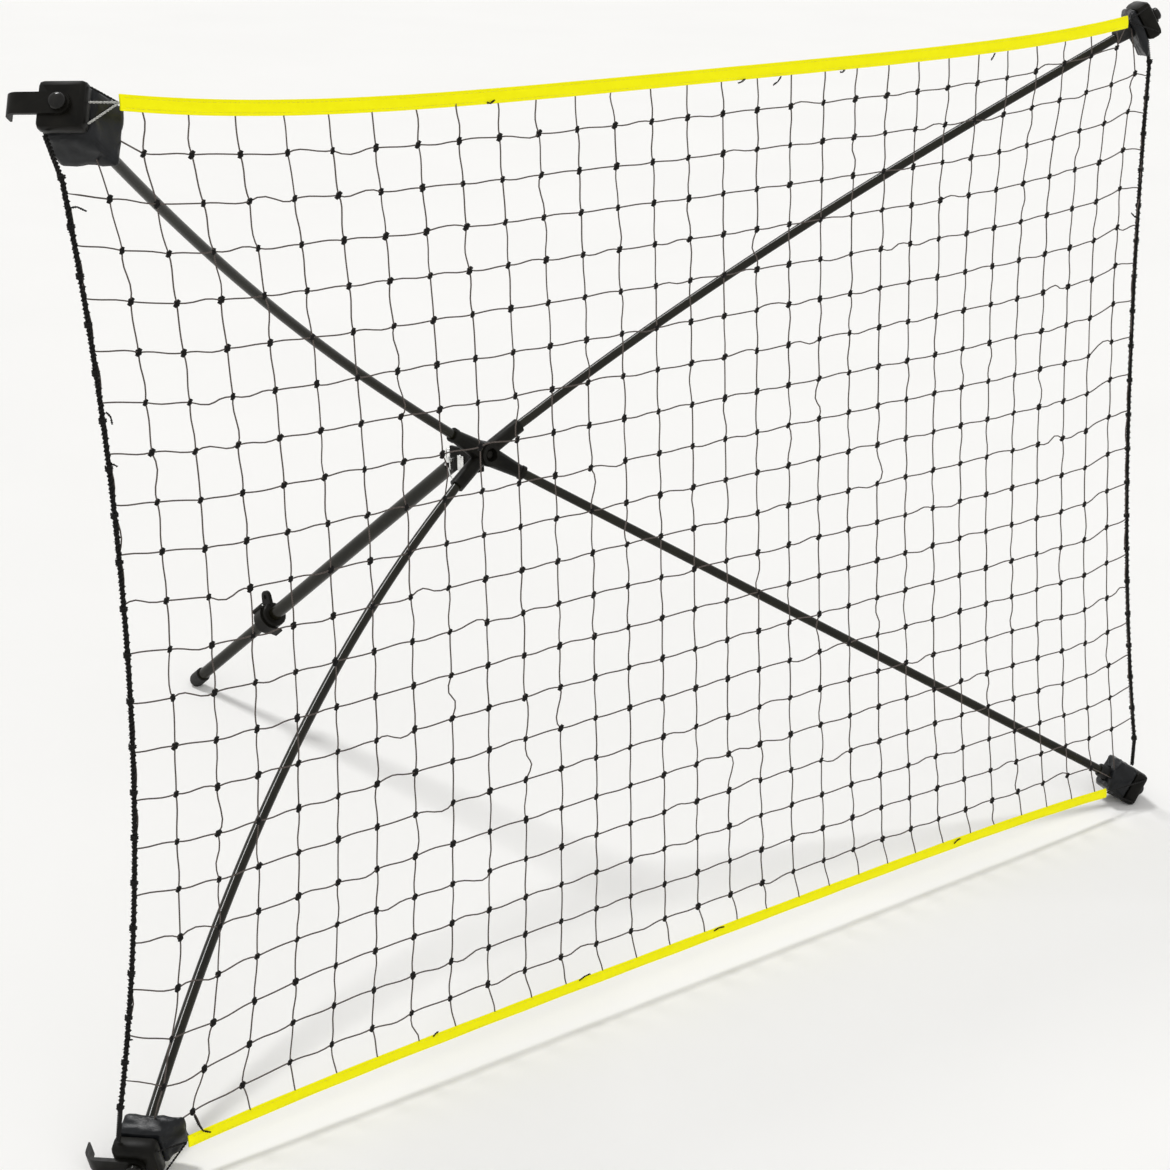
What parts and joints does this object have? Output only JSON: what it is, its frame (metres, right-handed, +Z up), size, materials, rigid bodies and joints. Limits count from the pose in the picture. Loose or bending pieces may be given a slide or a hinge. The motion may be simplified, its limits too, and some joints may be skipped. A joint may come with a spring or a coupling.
{
  "type": "rebound net",
  "caption": "Free-standing ball rebounder: a knotted net held open by bowed rods from a rear hub, propped by a telescopic leg.",
  "frame": {"origin": "middle of the footprint's bounding box, on the floor", "axes": "+X along the net's width, +Y from the net back towards the foot of the leg, +Z up"},
  "size_m": [1.6428, 1.0782, 1.0593],
  "materials": {
    "twine": "matt knotted polyester twine",
    "tape": "woven webbing",
    "rod": "satin dark coating",
    "nylon": "fine moulded grain",
    "vinyl": "soft vinyl sheet",
    "rubber": "matt",
    "zinc": "bright zinc plate"
  },
  "bodies": {
    "frame": {"net_mesh": "twine", "top_tape": "tape", "bottom_tape": "tape", "left_edge_rope": "twine", "right_edge_rope": "twine", "corner_body_tl": "nylon", "corner_body_tr": "nylon", "corner_body_bl": "nylon", "corner_body_br": "nylon", "boot_tl": "vinyl", "boot_tr": "vinyl", "boot_bl": "vinyl", "boot_br": "vinyl", "knob_tl": "nylon", "knob_tr": "nylon", "knob_bl": "nylon", "knob_br": "nylon", "ferrule_tl": "rubber", "ferrule_tr": "rubber", "ferrule_bl": "rubber", "ferrule_br": "rubber", "tie_tl": "twine", "tie_tr": "twine", "tie_bl": "twine", "tie_br": "twine", "rod_tl": "rod", "rod_tr": "rod", "rod_bl": "rod", "rod_br": "rod", "hub_body": "nylon", "hub_bolt": "nylon", "hub_nut": "zinc", "leg_bracket": "nylon", "clevis_pin": "zinc", "spring_clip": "zinc", "pin_tether": "zinc", "clip_keeper": "zinc"},
    "leg_upper": {"leg_eye": "nylon", "leg_upper_tube": "rod", "clamp_collar": "nylon", "lever_pin": "zinc"},
    "leg_lower": {"guide_bush": "nylon", "leg_lower_tube": "rod", "foot_cap": "rubber"},
    "lever": {"clamp_lever": "nylon"},
    "swivel_tl": {"hook_tl": "nylon"},
    "swivel_tr": {"hook_tr": "nylon"},
    "swivel_bl": {"hook_bl": "nylon"},
    "swivel_br": {"hook_br": "nylon"}
  },
  "joints": [
    {"name": "leg_swing", "type": "hinge", "parent": "frame", "child": "leg_upper", "pos_m": [-0.00999, -0.03769, 0.48996], "axis": [1, 0, 0], "range_deg": [-48, 100]},
    {"name": "leg_telescope", "type": "slide", "parent": "leg_upper", "child": "leg_lower", "axis": [0, 0.7627, -0.6468], "range_m": [-0.185, 0.16]},
    {"name": "clamp_lever", "type": "hinge", "parent": "leg_upper", "child": "lever", "pos_m": [-0.02181, 0.36539, 0.17025], "axis": [0, 0.7627, -0.6468], "range_deg": [0, 110]},
    {"name": "hook_swivel_tl", "type": "hinge", "parent": "frame", "child": "swivel_tl", "pos_m": [-0.7873, -0.39847, 1.03977], "axis": [-0.697, -0.5097, 0.5043], "range_deg": [-60, 60]},
    {"name": "hook_swivel_tr", "type": "hinge", "parent": "frame", "child": "swivel_tr", "pos_m": [0.78232, -0.40154, 1.0313], "axis": [0.7489, -0.4248, 0.5086], "range_deg": [-60, 60]},
    {"name": "hook_swivel_bl", "type": "hinge", "parent": "frame", "child": "swivel_bl", "pos_m": [-0.78725, -0.51275, 0.01877], "axis": [-0.6911, -0.5944, -0.4112], "range_deg": [-60, 60]},
    {"name": "hook_swivel_br", "type": "hinge", "parent": "frame", "child": "swivel_br", "pos_m": [0.79556, -0.51674, 0.01729], "axis": [0.7764, -0.4163, -0.4732], "range_deg": [-60, 60]}
  ]
}
